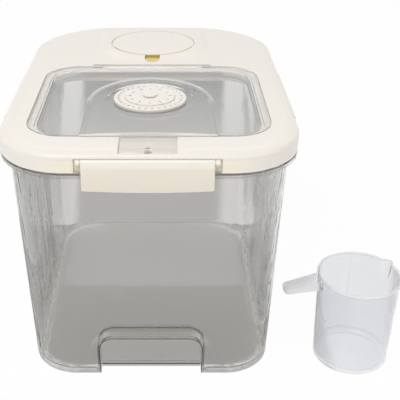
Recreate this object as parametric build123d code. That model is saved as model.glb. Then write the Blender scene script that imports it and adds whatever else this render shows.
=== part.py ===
from build123d import *
import math
import os

# A lidded bin for about ten kilograms of rice, with its measuring cup beside it.
# It stands on z = 0 with the middle of its base at the origin, X across and the front at -Y.
# All sizes are in millimetres and all angles in degrees.

# How far a rib sinks into what it stands on, and how far a cutter or a root runs past a face
overlap = 0.5
past = 1.0

# Plan of the lid, which the bin's flange repeats
lid_width = 242.0
lid_depth = 348.0
lid_front_corner = 58.0
lid_rear_corner = 82.0

# Bin
base_side_setback = 11.0
base_end_setback = 36.0
base_corner = 42.0
base_edge_round = 1.5
bin_wall = 2.6
floor_thickness = 3.0
floor_edge_round = 7.0
foot_depth = 2.7
foot_width = 9.0
gate_mark_radius = 2.5
gate_mark_height = 0.8
flange_underside = 218.6
flange_height = 4.6
flange_plate = 2.3
flange_lip = 2.4
flange_edge_round = 0.8
rim_inset = 7.0
rim_upstand = 8.0

# Finger recess at the front of the bin's base
recess_width = 92.0
recess_height = 44.0
recess_corner = 13.0
recess_setback = 46.5
recess_foot = 5.0

# Lid shell
lid_height = 16.4
skirt_gap = 0.4
skirt_wall = 2.4
crown_run = 8.0
crown_drop = 2.2
crown_round = 20.0
lid_edge_round = 3.0
edge_thickness = 3.3
edge_pick = 0.05
seal_rib_inset = 3.6
seal_rib_wall = 1.6
seal_side_gap = 0.2
seal_press_gap = 0.3
seal_width = 5.2
locating_wall = 2.2
locating_wall_end = 225.0
deck_thickness = 2.6
deck_pocket_margin = 3.0

# Flip window and the opening under it
window_width = 198.0
window_front_margin = 32.7
rear_deck_depth = 145.0
window_corner = 31.0
window_thickness = 3.0
window_side_gap = 0.7
window_rear_gap = 1.2
window_seat_gap = 0.2
ledge_width = 5.0
opening_wall = 2.2
opening_wall_end = 226.0
window_rim_height = 0.7
plug_depth = 6.5
plug_wall = 1.8
window_seal_width = 2.0
window_seal_height = 3.0
window_seal_drop = 1.5
window_seal_clearance = 0.3

# Raised field on the window, crowned across, with the dial's dish in it
field_half_width = 54.0
field_side_height = 1.6
field_middle_height = 3.2
field_overhang = 1.1
field_lift = 0.25
field_wall = 2.4
dish_radius = 37.5
dish_floor = 1.7

# Front tab of the window and its catch
tab_width = 44.8
tab_front_margin = 3.0
tab_thickness = 2.0
tab_proud = 0.5
tab_gap = 0.3
tab_rib_width = 3.0
tab_rib_height = 0.6
catch_hole_radius = 3.1
catch_hole_setback = 2.6
catch_hole_depth = 3.0
catch_notch_radius = 2.3
catch_peg_radius = 1.3
catch_peg_length = 1.4

# Window hinge
hinge_width = 113.0
hinge_setback = 3.5
hinge_barrel_radius = 2.5
hinge_slot_gap = 0.6
hinge_pin_radius = 1.5
hinge_pin_clearance = 0.1
hinge_pin_engagement = 8.0
hinge_socket_depth = 6.0
hinge_housing_wall = 2.2

# Date dial
dial_from_middle = 10.0
dial_radius = 31.3
dial_thickness = 2.2
dial_groove_depth = 0.4
month_radius = 21.5
month_thickness = 1.4
dial_play = 0.3
dial_post_radius = 4.2
dial_hub_radius = 6.0
dial_hub_height = 1.1
dial_hub_pin_radius = 2.0
dial_hub_fit = 0.05
dial_grip_count = 6
dial_grip_radius = 1.1

# Compartment at the rear of the lid
cap_from_rear = 73.0
cap_radius = 43.0
cap_gap = 0.5
cap_thickness = 2.2
cap_crown = 0.8
cap_plug_wall = 1.8
cap_plug_depth = 7.0
mound_height = 2.5
mound_top_margin = 7.5
mound_slope_run = 7.0
mound_rear_margin = 17.0
mound_rear_corner = 16.0
mound_round = 6.0
notch_half_width = 7.4
notch_reach = 15.2
compartment_ledge = 3.7
ledge_below_top = 4.2
compartment_collar_wall = 2.2
compartment_collar_depth = 4.5
basket_fit = 0.4
basket_flange = 1.6
basket_wall = 1.8
basket_depth = 26.0
basket_slot_count = 12
basket_slot_width = 2.4
basket_slot_inner = 10.0
basket_slot_outer = 31.0
basket_window_count = 16
basket_window_width = 3.0
basket_window_height = 11.0
cap_seal_height = 2.2
cap_seal_proud = 1.1
cap_seal_sunk = 0.9
cap_seal_clearance = 0.3
cap_seal_round = 0.8

# Side and end clasps
clasp_width = 101.0
clasp_end_clearance = 0.4
clasp_pocket_margin = 5.6
clasp_pocket_depth = 2.8
clasp_back_wall = 2.4
clasp_pocket_roof = 2.6
clasp_barrel_radius = 2.4
clasp_axis_out = 0.2
clasp_roof_gap = 0.3
clasp_face_gap = 0.4
clasp_bulge = 0.8
clasp_bottom = 208.1
clasp_bottom_bow = 1.4
clasp_corner = 3.0
clasp_edge_round = 1.1
clasp_edge_pick = 0.2
clasp_cut_depth = 20.0
clasp_hook_width = 72.0
clasp_hook_reach = 4.2
clasp_hook_thickness = 2.8
clasp_hook_gap = 0.3
clasp_rib_count = 5
clasp_rib_width = 1.6
clasp_rim = 2.0
clasp_hollow = 1.0
clasp_ear_width = 3.4
clasp_ear_radius = 2.3
clasp_pin_radius = 1.2
clasp_pin_clearance = 0.1
side_clasp_from_front = 142.0

# Measuring cup, standing to the right of the bin and in front of its middle
cup_x = 189.0
cup_y = -108.0
cup_height = 90.0
cup_rim_radius = 36.9
cup_base_radius = 34.4
cup_wall = 1.5
cup_floor = 1.8
cup_foot_depth = 1.4
cup_foot_wall = 2.4
cup_base_round = 4.0
cup_lip_width = 1.0
cup_lip_height = 2.0
cup_spout_reach = 4.5
cup_spout_turn = 34.0
cup_spout_radius = 7.0
cup_spout_height = 22.0
cup_handle_length = 34.0
cup_handle_root = 17.0
cup_handle_tip = 12.0
cup_handle_root_depth = 9.0
cup_handle_tip_depth = 5.0
cup_handle_wall = 1.6
cup_handle_drop_angle = 13.0
cup_handle_turn = 6.0
cup_handle_below_rim = 1.0
cup_handle_tip_round = 0.7
cup_line_width = 0.9
cup_line_height = 0.5
cup_line_length = 62.0
cup_line_below_rim = 1.0

# Heights and places that follow from the sizes above
flange_top = flange_underside + flange_height
rim_top = flange_top + rim_upstand
skirt_bottom = flange_top + skirt_gap
lid_top = skirt_bottom + lid_height
lid_edge = lid_top - crown_drop
ceiling = lid_edge - edge_thickness
floor_top = foot_depth + floor_thickness
front = -lid_depth / 2
rear = lid_depth / 2
locating_inset = rim_inset + bin_wall + (seal_width - bin_wall) / 2 + seal_side_gap
seal_bottom = rim_top + seal_press_gap
window_front = front + window_front_margin
window_rear = rear - rear_deck_depth
window_length = window_rear - window_front
window_middle = (window_front + window_rear) / 2
window_underside = lid_top - window_thickness
window_ledge = window_underside - window_seat_gap
hinge_y = window_rear + hinge_setback
hinge_z = lid_top - hinge_barrel_radius
dial_y = window_middle - dial_from_middle
cap_y = rear - cap_from_rear
mound_top = lid_top + mound_height
mound_top_half = cap_radius + mound_top_margin
mound_base_half = mound_top_half + mound_slope_run
cap_ledge = mound_top - ledge_below_top
compartment_hole = cap_radius + cap_gap - compartment_ledge
pocket_top = lid_edge - clasp_pocket_roof
clasp_axis = pocket_top - clasp_roof_gap - clasp_barrel_radius
clasp_hook_top = flange_underside - clasp_hook_gap
recess_wall = front + recess_setback


def solid_of(shape):
    # The largest solid of a shape, so that a boolean's bookkeeping never reaches a file
    return sorted(shape.solids(), key=lambda solid: solid.volume)[-1]


def outline(width, depth, front_corner, rear_corner, middle=0.0):
    # A rectangle in plan with its own corner radii at the front and at the rear
    plan = Rectangle(width, depth)
    plan = fillet(plan.vertices().group_by(Axis.Y)[0], front_corner)
    plan = fillet(plan.vertices().group_by(Axis.Y)[-1], rear_corner)
    return Pos(0, middle) * plan


def lid_plan(inset):
    return outline(
        lid_width - 2 * inset,
        lid_depth - 2 * inset,
        lid_front_corner - inset,
        lid_rear_corner - inset,
    )


def window_plan(inset):
    return outline(
        window_width - 2 * inset,
        window_length - 2 * inset,
        window_corner - inset,
        window_corner - inset,
        window_middle,
    )


def window_rebate():
    # The recess that the window lies in, a little longer at the rear for the window's swing
    return outline(
        window_width + 2 * window_side_gap,
        window_length + window_side_gap + window_rear_gap,
        window_corner + window_side_gap,
        window_corner + window_rear_gap,
        window_middle + (window_rear_gap - window_side_gap) / 2,
    )


def prism(plan, bottom, top):
    return Pos(0, 0, bottom) * extrude(plan, top - bottom)


def ring(outer_plan, inner_plan, bottom, top):
    return prism(outer_plan, bottom, top) - prism(inner_plan, bottom, top)


def block(x_low, x_high, y_low, y_high, z_low, z_high):
    size = Box(x_high - x_low, y_high - y_low, z_high - z_low)
    return Pos((x_low + x_high) / 2, (y_low + y_high) / 2, (z_low + z_high) / 2) * size


def drum(radius, y, bottom, top):
    # An upright cylinder on the centre plane
    return Pos(0, y, (bottom + top) / 2) * Cylinder(radius, top - bottom)


def rod(radius, x_low, x_high, y, z):
    # A cylinder along X
    place = Pos((x_low + x_high) / 2, y, z) * Rot(0, 90, 0)
    return place * Cylinder(radius, x_high - x_low)


def along_x(points, x_low, x_high):
    # A solid whose YZ profile is the polygon of points
    profile = Plane.YZ * make_face(Polyline(*points, close=True))
    return Pos(x_low, 0, 0) * extrude(profile, x_high - x_low)


def bin_section(z, inset):
    # The bin's plan at a height: it widens steadily from the base up to the flange
    share = min(z / flange_underside, 1.0)
    side = base_side_setback + (rim_inset - base_side_setback) * share
    end = base_end_setback + (rim_inset - base_end_setback) * share
    front_corner = base_corner + (lid_front_corner - rim_inset - base_corner) * share
    rear_corner = base_corner + (lid_rear_corner - rim_inset - base_corner) * share
    plan = outline(
        lid_width - 2 * (side + inset),
        lid_depth - 2 * (end + inset),
        front_corner - inset,
        rear_corner - inset,
    )
    return Pos(0, 0, z) * plan


def recess_arch(growth, wall_y):
    # The finger recess as a solid, grown on its three sides, from before the bin to wall_y
    width = recess_width + 2 * growth
    height = recess_height + growth
    profile = Rectangle(width, 2 * height)
    profile = fillet(profile.vertices().group_by(Axis.Y)[-1], recess_corner + growth)
    depth = wall_y - front
    return Pos(0, wall_y, 0) * extrude(Plane.XZ * profile, depth)


def make_bin_body():
    outer = loft([bin_section(0, 0), bin_section(flange_underside, 0)], ruled=True)
    outer = fillet(outer.faces().sort_by(Axis.Z)[0].edges(), base_edge_round)
    upstand = prism(lid_plan(rim_inset), flange_underside, rim_top)
    flange = prism(lid_plan(0), flange_underside, flange_top)
    flange_rims = flange.faces().filter_by(Axis.Z).edges()
    flange = fillet(flange_rims, flange_edge_round)
    groove = ring(
        lid_plan(flange_lip),
        lid_plan(rim_inset),
        flange_underside,
        flange_top - flange_plate,
    )
    cavity = loft(
        [bin_section(floor_top, bin_wall), bin_section(flange_underside, bin_wall)],
        ruled=True,
    )
    cavity = fillet(cavity.faces().sort_by(Axis.Z)[0].edges(), floor_edge_round)
    cavity += prism(lid_plan(rim_inset + bin_wall), flange_underside, rim_top + past)
    cavity -= recess_arch(bin_wall, recess_wall + bin_wall)
    underside = extrude(bin_section(0, foot_width), foot_depth)
    underside -= recess_arch(recess_foot, recess_wall + recess_foot)
    body = outer + upstand + flange
    body -= groove
    body -= cavity
    body -= recess_arch(0, recess_wall)
    body -= underside
    body += drum(gate_mark_radius, 0, foot_depth - gate_mark_height, foot_depth)
    return solid_of(body)


def mound_plan(half_width, rear_edge):
    # A tongue with a round front end about the cap and straight sides towards the rear
    length = rear_edge - cap_y
    plan = Pos(0, cap_y + length / 2) * Rectangle(2 * half_width, length)
    plan += Pos(0, cap_y) * Circle(half_width)
    return fillet(plan.vertices().group_by(Axis.Y)[-1], mound_rear_corner)


def make_mound():
    base = mound_plan(mound_base_half, rear - mound_rear_margin)
    crest = mound_plan(mound_top_half, rear - mound_rear_margin - mound_slope_run)
    slope = loft([Pos(0, 0, lid_top) * base, Pos(0, 0, mound_top) * crest], ruled=True)
    slope = fillet(slope.faces().sort_by(Axis.Z)[-1].edges(), mound_round)
    return slope + prism(base, ceiling + deck_thickness, lid_top)


def tab_profile(growth, front_end):
    # The tab's section over the frame, flat to the crown's start and then down its slope
    fall = crown_drop / crown_run
    bend = front + crown_run
    back = window_front + past
    high = lid_top + tab_proud
    low = high - tab_thickness - growth
    drop = (bend - front_end) * fall
    return [
        (back, high),
        (bend, high),
        (front_end, high - drop),
        (front_end, low - drop),
        (bend, low),
        (back, low),
    ]


def place_clasp(shape, side):
    # A clasp and its pocket are drawn at the front of the lid, about X = 0, and then turned
    if side == "front":
        return Pos(0, front, 0) * shape
    if side == "rear":
        return Pos(0, rear, 0) * Rot(0, 0, 180) * shape
    if side == "left":
        return Pos(-lid_width / 2, front + side_clasp_from_front, 0) * Rot(0, 0, -90) * shape
    return Pos(lid_width / 2, front + side_clasp_from_front, 0) * Rot(0, 0, 90) * shape


def clasp_pocket_void():
    half = clasp_width / 2 + clasp_pocket_margin
    return block(-half, half, -4, clasp_pocket_depth, skirt_bottom - past, pocket_top)


def clasp_pocket_wall():
    half = clasp_width / 2 + clasp_pocket_margin + skirt_wall
    depth = clasp_pocket_depth + clasp_back_wall
    wall = block(-half, half, skirt_wall / 2, depth, skirt_bottom, ceiling + overlap)
    return wall


def clasp_ears():
    # Two ears hold the pin just beyond the ends of the clasp's barrel
    inner = clasp_width / 2 + clasp_end_clearance
    outer = inner + clasp_ear_width
    y = -clasp_axis_out
    ears = None
    for side in (-1, 1):
        low = min(side * inner, side * outer)
        high = max(side * inner, side * outer)
        ear = rod(clasp_ear_radius, low, high, y, clasp_axis)
        bottom = clasp_axis - clasp_ear_radius
        top = clasp_axis + clasp_ear_radius
        ear += block(low, high, y, clasp_pocket_depth + overlap, bottom, top)
        ear -= rod(clasp_pin_radius + clasp_pin_clearance / 2, low, high, y, clasp_axis)
        ears = ear if ears is None else ears + ear
    return ears


def hinge_housing():
    half = hinge_width / 2 + hinge_slot_gap + hinge_socket_depth + hinge_housing_wall
    reach = hinge_barrel_radius + hinge_slot_gap + hinge_housing_wall
    bottom = hinge_z - reach
    return block(-half, half, hinge_y - reach, hinge_y + reach, bottom, ceiling + past)


def hinge_slot():
    half = hinge_width / 2 + hinge_slot_gap
    reach = hinge_barrel_radius + hinge_slot_gap
    slot = rod(reach, -half, half, hinge_y, hinge_z)
    slot += block(-half, half, window_rear, hinge_y + reach, hinge_z, lid_top + past)
    slot += block(-half, half, window_rear, hinge_y, hinge_z - reach, lid_top + past)
    for side in (-1, 1):
        low = min(side * half, side * (half + hinge_socket_depth))
        high = max(side * half, side * (half + hinge_socket_depth))
        radius = hinge_pin_radius + hinge_pin_clearance / 2
        slot += rod(radius, low, high, hinge_y, hinge_z)
    return slot


def make_lid_frame():
    shell = prism(lid_plan(0), skirt_bottom, lid_top)
    top = shell.faces().sort_by(Axis.Z)[-1]
    shell = chamfer(top.edges(), crown_run, crown_drop, reference=top)
    top = shell.faces().sort_by(Axis.Z)[-1]
    shell = fillet(top.edges(), crown_round)
    rim = shell.edges().filter_by_position(Axis.Z, lid_edge - edge_pick, lid_edge + edge_pick)
    shell = fillet(rim, lid_edge_round)
    shell -= prism(lid_plan(skirt_wall), skirt_bottom - past, ceiling)
    shell += make_mound()
    rib_end = seal_rib_inset + seal_rib_wall
    shell += ring(lid_plan(seal_rib_inset), lid_plan(rib_end), seal_bottom, ceiling + overlap)
    inner_end = locating_inset + locating_wall
    shell += ring(
        lid_plan(locating_inset),
        lid_plan(inner_end),
        locating_wall_end,
        ceiling + overlap,
    )
    shell += prism(window_plan(ledge_width - opening_wall), opening_wall_end, ceiling + overlap)
    shell += hinge_housing()
    for side in ("front", "rear", "left", "right"):
        shell += place_clasp(clasp_pocket_wall(), side)
        shell -= place_clasp(clasp_pocket_void(), side)
        shell += place_clasp(clasp_ears(), side)
    shell -= prism(window_rebate(), window_ledge, lid_top + past)
    shell -= prism(window_plan(ledge_width), opening_wall_end - past, lid_top + past)
    shell -= hinge_slot()
    shell -= deck_pocket()
    shell += compartment_collar()
    shell -= drum(compartment_hole, cap_y, skirt_bottom, mound_top + past)
    shell -= drum(cap_radius + cap_gap, cap_y, cap_ledge, mound_top + past)
    shell -= finger_notch(0, cap_ledge, mound_top + past)
    tab_end = front + tab_front_margin - tab_gap
    half = tab_width / 2 + tab_gap
    shell -= along_x(tab_profile(tab_gap, tab_end), -half, half)
    hole_setback = tab_front_margin + catch_hole_setback
    hole_top = lid_top - crown_drop * (crown_run - hole_setback) / crown_run
    shell -= drum(catch_hole_radius, front + hole_setback, hole_top - catch_hole_depth, lid_top)
    return solid_of(shell)


def deck_pocket():
    # The underside is thinned behind the window, outside the compartment's collar
    inset = locating_inset + locating_wall + deck_pocket_margin
    pocket = prism(lid_plan(inset), ceiling - overlap, lid_top - deck_thickness)
    start = hinge_y + hinge_barrel_radius + hinge_slot_gap + hinge_housing_wall
    pocket &= block(-lid_width, lid_width, start, rear, 0, 2 * lid_top)
    return pocket - drum(cap_radius + deck_pocket_margin, cap_y, ceiling - past, lid_top)


def compartment_collar():
    outer = compartment_hole + compartment_collar_wall
    return drum(outer, cap_y, ceiling - compartment_collar_depth, cap_ledge)


def finger_notch(inset, bottom, top):
    # A U-shaped notch before the cap lets a finger get under its edge
    half = notch_half_width - inset
    round_end = cap_y - cap_radius - notch_reach + notch_half_width
    inner_end = cap_y - compartment_hole - compartment_ledge / 2
    notch = drum(half, round_end, bottom, top)
    return notch + block(-half, half, round_end, inner_end, bottom, top)


def make_lid_seal():
    # A silicone ring that the bin's rim presses into
    inner = locating_inset - seal_side_gap
    return solid_of(ring(lid_plan(inner - seal_width), lid_plan(inner), seal_bottom, ceiling))


def field_plan(inset):
    # The raised field: straight sides from the window's front edge and a round end about the dial
    front_edge = window_front - field_overhang + inset
    half = field_half_width - inset
    length = dial_y - front_edge
    plan = Pos(0, front_edge + length / 2) * Rectangle(2 * half, length)
    return plan + Pos(0, dial_y) * Circle(half)


def field_crown():
    # A long drum along Y whose upper surface is the field's crowned top
    rise = field_middle_height - field_side_height
    radius = (field_half_width**2 + rise**2) / (2 * rise)
    axis_z = lid_top + field_middle_height - radius
    place = Pos(0, window_middle, axis_z) * Rot(90, 0, 0)
    return place * Cylinder(radius, 2 * window_length)


def make_flip_window():
    panel = prism(window_plan(0), window_underside, lid_top)
    panel = fillet(panel.faces().sort_by(Axis.Z)[-1].edges(), window_rim_height)
    field = prism(field_plan(0), lid_top + field_lift, lid_top + 2 * field_middle_height)
    field &= field_crown()
    panel += field
    panel += prism(field_plan(field_overhang), lid_top - past, lid_top + field_side_height / 2)
    inner_top = lid_top + dish_floor - field_wall
    panel -= prism(field_plan(field_overhang + field_wall), window_underside, inner_top)
    panel -= drum(dish_radius, dial_y, lid_top + dish_floor, lid_top + 2 * field_middle_height)
    plug_inset = ledge_width + window_seal_width + window_seal_clearance
    plug = ring(
        window_plan(plug_inset),
        window_plan(plug_inset + plug_wall),
        window_underside - plug_depth,
        window_underside,
    )
    panel += plug
    panel += front_tab()
    panel += rod(hinge_barrel_radius, -hinge_width / 2, hinge_width / 2, hinge_y, hinge_z)
    half = hinge_width / 2
    panel += block(-half, half, window_rear - past, hinge_y, window_underside, lid_top)
    for side in (-1, 1):
        low = min(side * half, side * (half - hinge_pin_engagement))
        high = max(side * half, side * (half - hinge_pin_engagement))
        radius = hinge_pin_radius + hinge_pin_clearance
        panel -= rod(radius, low, high, hinge_y, hinge_z)
    post_top = lid_top + dish_floor + dial_thickness + month_thickness + 3 * dial_play
    panel += drum(dial_post_radius, dial_y, lid_top + dish_floor - field_wall, post_top)
    hub_pin = dial_hub_pin_radius + dial_hub_fit
    panel -= drum(hub_pin, dial_y, post_top - month_thickness - dial_thickness, post_top)
    return solid_of(panel)


def front_tab():
    # A flap that bends down over the lid's edge, with a rib, a catch peg and a half-round notch
    end = front + tab_front_margin
    half = tab_width / 2
    tab = along_x(tab_profile(0, end), -half, half)
    rib_half = tab_rib_width / 2
    rib_top = lid_top + tab_proud + tab_rib_height
    tab += block(-rib_half, rib_half, front + crown_run, window_front, lid_top, rib_top)
    tab -= drum(catch_notch_radius, end, ceiling, lid_top + past)
    peg_y = end + catch_notch_radius + catch_peg_radius + tab_gap
    peg_top = lid_top + tab_proud - tab_thickness
    fall = crown_drop / crown_run * (front + crown_run - peg_y)
    return tab + drum(catch_peg_radius, peg_y, peg_top - fall - catch_peg_length, peg_top)


def make_window_seal():
    # A ring of silicone on the outside of the window's plug
    outer = ledge_width + window_seal_clearance
    top = window_underside - window_seal_drop
    return solid_of(
        ring(
            window_plan(outer),
            window_plan(outer + window_seal_width),
            top - window_seal_height,
            top,
        )
    )


def make_window_hinge_pin(side):
    half = hinge_width / 2
    inner = half - hinge_pin_engagement + hinge_slot_gap
    outer = half + hinge_socket_depth
    low = min(side * inner, side * outer)
    high = max(side * inner, side * outer)
    return solid_of(rod(hinge_pin_radius, low, high, hinge_y, hinge_z))


def make_dial_day_disc():
    bottom = lid_top + dish_floor + dial_play
    top = bottom + dial_thickness
    disc = drum(dial_radius, dial_y, bottom, top)
    disc = fillet(disc.edges().group_by(Axis.Z)[-1], dial_thickness / 4)
    bed = month_radius + dial_play
    disc -= drum(bed, dial_y, top - dial_groove_depth, top)
    return solid_of(disc - drum(dial_post_radius + dial_play, dial_y, bottom, top))


def make_dial_month_disc():
    bottom = lid_top + dish_floor + 2 * dial_play + dial_thickness - dial_groove_depth
    top = bottom + month_thickness
    disc = drum(month_radius, dial_y, bottom, top)
    disc = fillet(disc.edges().group_by(Axis.Z)[-1], month_thickness / 4)
    for count in range(dial_grip_count):
        turn = Pos(0, dial_y, 0) * Rot(0, 0, 360 / dial_grip_count * count)
        place = turn * Pos(month_radius, 0, (bottom + top) / 2)
        disc -= place * Cylinder(dial_grip_radius, 2 * month_thickness)
    return solid_of(disc - drum(dial_post_radius + dial_play, dial_y, bottom, top))


def make_dial_hub():
    post_top = lid_top + dish_floor + dial_thickness + month_thickness + 3 * dial_play
    head = drum(dial_hub_radius, dial_y, post_top, post_top + dial_hub_height)
    head = fillet(head.edges().group_by(Axis.Z)[-1], dial_hub_height / 2)
    shank = drum(dial_hub_pin_radius, dial_y, post_top - month_thickness - dial_thickness / 2, post_top)
    return solid_of(head + shank)


def make_compartment_basket():
    # A vented cup whose flange lies on the ledge, with a tongue that fills the notch's floor
    flange_bottom = cap_ledge
    flange_top_z = flange_bottom + basket_flange
    flange_edge = cap_radius + cap_gap - basket_fit
    outer = compartment_hole - basket_fit
    floor = flange_bottom - basket_depth
    basket = drum(flange_edge, cap_y, flange_bottom, flange_top_z)
    basket += drum(outer, cap_y, floor, flange_bottom)
    basket = fillet(basket.edges().group_by(Axis.Z)[0], basket_wall)
    basket += finger_notch(basket_fit, flange_bottom, flange_top_z)
    basket -= drum(outer - basket_wall, cap_y, floor + basket_wall, flange_top_z)
    middle = (basket_slot_inner + basket_slot_outer) / 2
    length = basket_slot_outer - basket_slot_inner
    for count in range(basket_slot_count):
        turn = Pos(0, cap_y, 0) * Rot(0, 0, 360 / basket_slot_count * count)
        slot = Pos(middle, 0, floor) * Box(length, basket_slot_width, 3 * basket_wall)
        basket -= turn * slot
    window_z = floor + basket_depth / 2 - basket_wall
    for count in range(basket_window_count):
        turn = Pos(0, cap_y, 0) * Rot(0, 0, 360 / basket_window_count * (count + 0.5))
        gap = Pos(outer, 0, window_z) * Box(4 * basket_wall, basket_window_width, basket_window_height)
        basket -= turn * gap
    return solid_of(basket)


def make_compartment_cap():
    bottom = cap_ledge + basket_flange + seal_side_gap
    rim = bottom + cap_thickness
    crest = rim + cap_crown
    bulge = (cap_radius**2 + cap_crown**2) / (2 * cap_crown)
    half = cap_radius / 2
    half_height = crest - bulge + math.sqrt(bulge**2 - half**2)
    crown = ThreePointArc((cap_radius, rim), (half, half_height), (0, crest))
    sides = Polyline((0, crest), (0, bottom), (cap_radius, bottom), (cap_radius, rim))
    profile = make_face(crown + sides)
    corner = profile.vertices().sort_by_distance((cap_radius, rim))[0]
    profile = fillet(corner, cap_thickness / 4)
    cap = Pos(0, cap_y, 0) * revolve(Plane.XZ * profile, Axis.Z)
    plug = cap_plug_radius()
    cap += drum(plug, cap_y, bottom - cap_plug_depth, bottom)
    cap -= drum(plug - cap_plug_wall, cap_y, bottom - cap_plug_depth, bottom)
    return solid_of(cap - cap_seal_groove())


def cap_plug_radius():
    bore = compartment_hole - basket_fit - basket_wall
    return bore - cap_seal_clearance - cap_seal_proud


def cap_seal_groove():
    plug = cap_plug_radius()
    middle = cap_ledge + basket_flange + seal_side_gap - cap_plug_depth / 2
    groove = drum(plug, cap_y, middle - cap_seal_height / 2, middle + cap_seal_height / 2)
    return groove - drum(plug - cap_seal_sunk, cap_y, skirt_bottom, lid_top)


def make_compartment_cap_seal():
    # A flat ring with rounded outer edges that stands proud of its groove
    outer = cap_plug_radius() + cap_seal_proud
    middle = cap_ledge + basket_flange + seal_side_gap - cap_plug_depth / 2
    seal = drum(outer, cap_y, middle - cap_seal_height / 2, middle + cap_seal_height / 2)
    seal = fillet(seal.edges().filter_by(GeomType.CIRCLE), cap_seal_proud * cap_seal_round)
    inner = cap_plug_radius() - cap_seal_sunk
    return solid_of(seal - drum(inner, cap_y, skirt_bottom, lid_top))


def clasp_shape():
    # The clasp as it hangs at the front: a barrel, a bowed plate and a hook under the flange
    half = clasp_width / 2
    y = -clasp_axis_out
    outer = y - clasp_barrel_radius
    inner = -clasp_face_gap
    middle = (clasp_axis + clasp_bottom) / 2
    low = clasp_bottom - 2 * past
    face = ThreePointArc((outer, clasp_axis), (outer - clasp_bulge, middle), (outer, low))
    back = Polyline((outer, low), (inner, low), (inner, clasp_axis), (outer, clasp_axis))
    plate = Pos(-half, 0, 0) * extrude(Plane.YZ * make_face(face + back), clasp_width)
    plate += rod(clasp_barrel_radius, -half, half, y, clasp_axis)
    front_view = Rectangle(clasp_width, 2 * (clasp_axis + clasp_barrel_radius - clasp_bottom))
    front_view = fillet(front_view.vertices().group_by(Axis.Y)[0], clasp_corner)
    view_z = clasp_axis + clasp_barrel_radius
    plate &= Pos(0, clasp_cut_depth / 2, view_z) * extrude(Plane.XZ * front_view, clasp_cut_depth)
    bow = ThreePointArc(
        (-half, clasp_bottom + clasp_bottom_bow),
        (0, clasp_bottom),
        (half, clasp_bottom + clasp_bottom_bow),
    )
    under = Polyline(
        (half, clasp_bottom + clasp_bottom_bow),
        (half, low - clasp_corner),
        (-half, low - clasp_corner),
        (-half, clasp_bottom + clasp_bottom_bow),
    )
    plate -= Pos(0, clasp_cut_depth / 2, 0) * extrude(Plane.XZ * make_face(bow + under), clasp_cut_depth)
    plate = fillet(clasp_outer_edges(plate, outer), clasp_edge_round)
    plate -= clasp_hollows(half, inner)
    hook_half = clasp_hook_width / 2
    hook_low = clasp_hook_top - clasp_hook_thickness
    hook = [
        (inner - overlap, clasp_hook_top),
        (clasp_hook_reach, clasp_hook_top),
        (clasp_hook_reach, clasp_hook_top - clasp_hook_thickness / 2),
        (inner, hook_low),
        (inner - overlap, hook_low),
    ]
    plate += along_x(hook, -hook_half, hook_half)
    bore = rod(clasp_pin_radius + clasp_pin_clearance, -half, half, y, clasp_axis)
    return solid_of(plate - bore)


def clasp_outer_edges(plate, outer):
    # The edges round the plate's outer face, below the barrel
    return [
        edge
        for edge in plate.edges()
        if edge.center().Y < outer + clasp_edge_pick and edge.center().Z < clasp_axis - past
    ]


def clasp_hollows(half, inner):
    # The back of the plate is hollowed between upright ribs, above and below the hook
    bays = clasp_rib_count + 1
    span = 2 * (half - clasp_rim)
    pitch = (span + clasp_rib_width) / bays
    top = clasp_axis - clasp_barrel_radius - clasp_rim / 2
    bottom = clasp_bottom + clasp_bottom_bow + clasp_rim
    hook_low = clasp_hook_top - clasp_hook_thickness
    hollows = None
    for bay in range(bays):
        left = -half + clasp_rim + bay * pitch
        right = left + pitch - clasp_rib_width
        for low, high in ((clasp_hook_top, top), (bottom, hook_low)):
            hollow = block(left, right, inner - clasp_hollow, inner + past, low, high)
            hollows = hollow if hollows is None else hollows + hollow
    return hollows


def clasp_pin():
    half = clasp_width / 2 + clasp_end_clearance + clasp_ear_width
    return solid_of(rod(clasp_pin_radius, -half, half, -clasp_axis_out, clasp_axis))


def cup_turned(profile):
    # A body of revolution about the cup's own upright axis
    return revolve(Plane.XZ * make_face(Polyline(*profile, close=True)), Axis.Z)


def cup_spout(growth, reach):
    # The spout leans out over the rim as a cone that runs down into the wall
    start = cup_height - cup_spout_height
    slope = (cup_rim_radius - cup_base_radius) / cup_height
    low_x = cup_base_radius + slope * start - cup_spout_radius
    high_x = cup_rim_radius + reach - cup_spout_radius
    low = Pos(low_x, 0, start) * Circle(cup_spout_radius + growth)
    high = Pos(high_x, 0, cup_height) * Circle(cup_spout_radius + growth)
    return loft([low, high], ruled=True)


def cup_handle(inset):
    # A trough that tapers from the wall to its tip and leans down a little
    root_x = cup_rim_radius - cup_wall
    tip_x = cup_rim_radius + cup_handle_length
    root = cup_handle_root / 2 - inset
    tip = cup_handle_tip / 2 - inset
    end = tip_x - inset
    plan = make_face(Polyline((root_x, -root), (end, -tip), (end, tip), (root_x, root), close=True))
    plan = fillet(plan.vertices().group_by(Axis.X)[-1], tip * cup_handle_tip_round)
    side_view = [
        (root_x, inset - cup_handle_root_depth),
        (end, inset - cup_handle_tip_depth),
        (end, 2 * inset),
        (root_x, 2 * inset),
    ]
    depth = 2 * cup_handle_root_depth
    side = extrude(Plane.XZ * make_face(Polyline(*side_view, close=True)), depth, both=True)
    trough = Pos(0, 0, -depth) * extrude(plan, 2 * depth) & side
    lean = Rot(0, cup_handle_drop_angle, 0)
    pivot = Pos(root_x, 0, cup_height - cup_handle_below_rim)
    return pivot * lean * Pos(-root_x, 0, 0) * trough


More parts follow.
